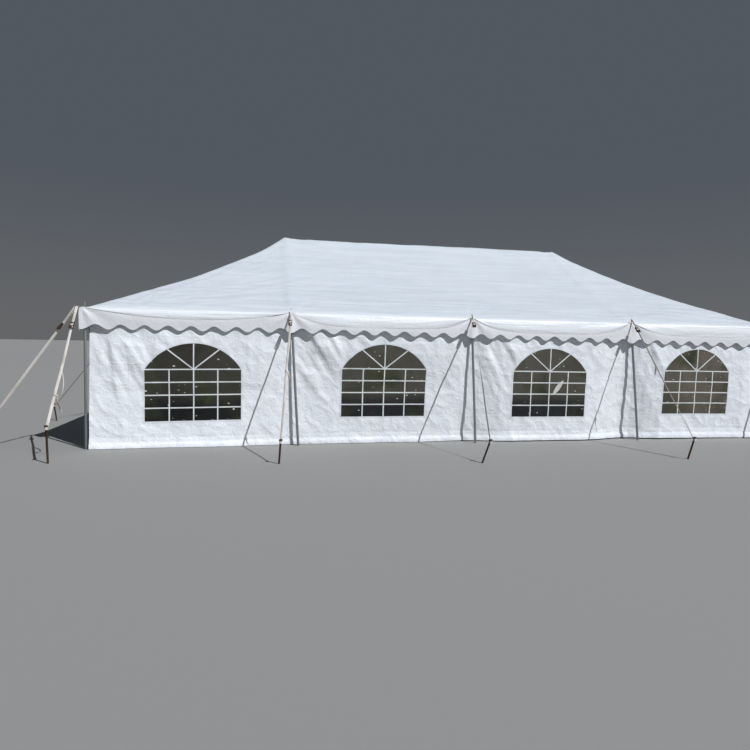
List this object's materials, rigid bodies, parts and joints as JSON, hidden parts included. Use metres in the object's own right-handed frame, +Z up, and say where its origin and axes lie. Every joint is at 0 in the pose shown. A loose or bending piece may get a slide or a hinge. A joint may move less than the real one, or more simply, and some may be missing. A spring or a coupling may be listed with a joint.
{
  "type": "pole marquee tent",
  "caption": "White pole marquee tent with a hipped fabric roof, waved valance, arched clear windows in its side walls, steel poles and strap guys run out to stakes.",
  "frame": {"origin": "on the ground under the middle of the top, at the bottom centre of the whole part", "axes": "+X along the ridge to the right seen from the front, +Y from the front wall to the back wall, +Z up"},
  "size_m": [15.2414, 9.5654, 3.88],
  "materials": {
    "top_fabric": "white coated woven polyester with a soft sheen",
    "valance_fabric": "white coated woven polyester, bound edge",
    "wall_fabric": "white coated woven polyester, creased",
    "clear_vinyl": "clear flexible vinyl sheet, glossy",
    "galvanised_steel": "dull galvanised steel tube",
    "guy_webbing": "cream polyester webbing with steel ratchets and stakes"
  },
  "bodies": {
    "root": {"roof_canopy": "top_fabric", "valance_front": "valance_fabric", "valance_back": "valance_fabric", "valance_left": "valance_fabric", "valance_right": "valance_fabric", "front_wall_left": "wall_fabric", "front_wall_right": "wall_fabric", "back_wall_left": "wall_fabric", "back_wall_right": "wall_fabric", "left_wall": "wall_fabric", "right_wall": "wall_fabric", "window_front_1": "clear_vinyl", "window_front_2": "clear_vinyl", "window_front_3": "clear_vinyl", "window_front_4": "clear_vinyl", "window_back_1": "clear_vinyl", "window_back_2": "clear_vinyl", "window_back_3": "clear_vinyl", "window_back_4": "clear_vinyl", "window_left_1": "clear_vinyl", "window_left_2": "clear_vinyl", "window_right_1": "clear_vinyl", "window_right_2": "clear_vinyl", "centre_pole_left": "galvanised_steel", "centre_pole_right": "galvanised_steel", "side_pole_01": "galvanised_steel", "side_pole_02": "galvanised_steel", "side_pole_03": "galvanised_steel", "side_pole_04": "galvanised_steel", "side_pole_05": "galvanised_steel", "side_pole_06": "galvanised_steel", "side_pole_07": "galvanised_steel", "side_pole_08": "galvanised_steel", "side_pole_09": "galvanised_steel", "side_pole_10": "galvanised_steel", "side_pole_11": "galvanised_steel", "side_pole_12": "galvanised_steel", "guy_01": "guy_webbing", "guy_02": "guy_webbing", "guy_03": "guy_webbing", "guy_04": "guy_webbing", "guy_05": "guy_webbing", "guy_06": "guy_webbing", "guy_07": "guy_webbing", "guy_08": "guy_webbing", "guy_09": "guy_webbing", "guy_10": "guy_webbing", "guy_11": "guy_webbing", "guy_12": "guy_webbing"}
  },
  "joints": []
}
